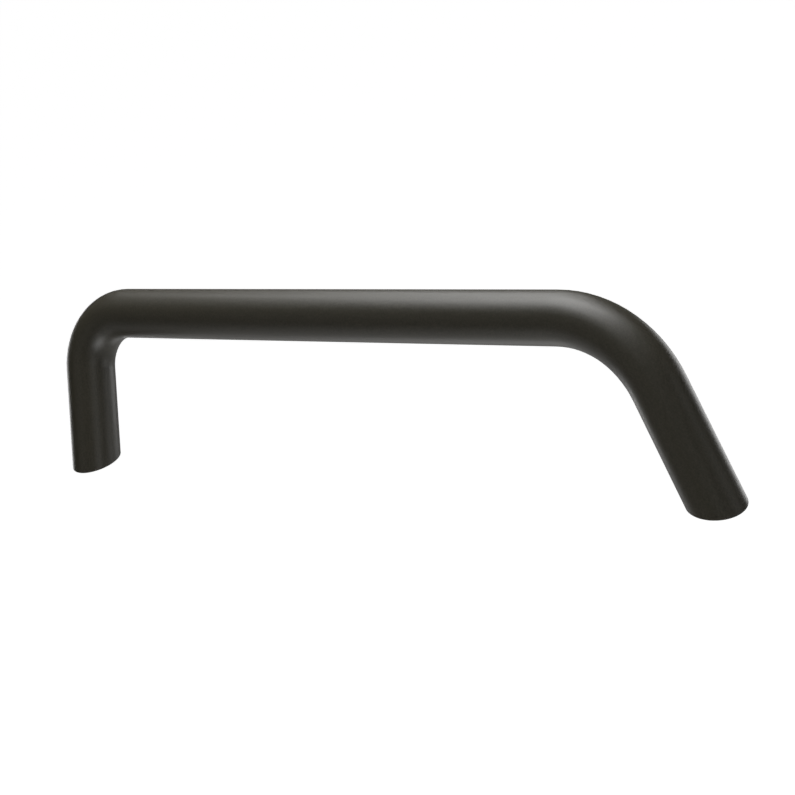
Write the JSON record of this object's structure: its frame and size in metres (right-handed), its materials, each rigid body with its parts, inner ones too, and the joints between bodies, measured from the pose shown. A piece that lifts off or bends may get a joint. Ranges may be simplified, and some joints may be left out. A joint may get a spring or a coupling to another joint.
{
  "type": "bed assist rail",
  "caption": "Bent tubular bed assist rail leaning off its mounting plane, with a tight bend, an easy bend and legs closed by plugs threaded for screws from behind",
  "frame": {"origin": "midway between the centres of the threaded fixings, on the mounting plane", "axes": "+X runs along the bar from the upright leg to the slanted leg, +Z is the outward normal of the surface the rail is screwed to, and the rail leans towards +Y"},
  "size_m": [0.4948, 0.0748, 0.105],
  "materials": {
    "anthracite_powder_coat": "satin, finely textured",
    "turned_aluminium": "faced and turned",
    "plated_steel": "zinc plated",
    "black_nitrile": "matt",
    "spring_steel": "plain stainless"
  },
  "bodies": {
    "root": {"rail_tube": "anthracite_powder_coat", "left_end_plug": "turned_aluminium", "right_end_plug": "turned_aluminium", "left_thread_insert": "plated_steel", "right_thread_insert": "plated_steel", "left_plug_seal": "black_nitrile", "right_plug_seal": "black_nitrile", "left_retaining_pin": "spring_steel", "right_retaining_pin": "spring_steel"}
  },
  "joints": []
}
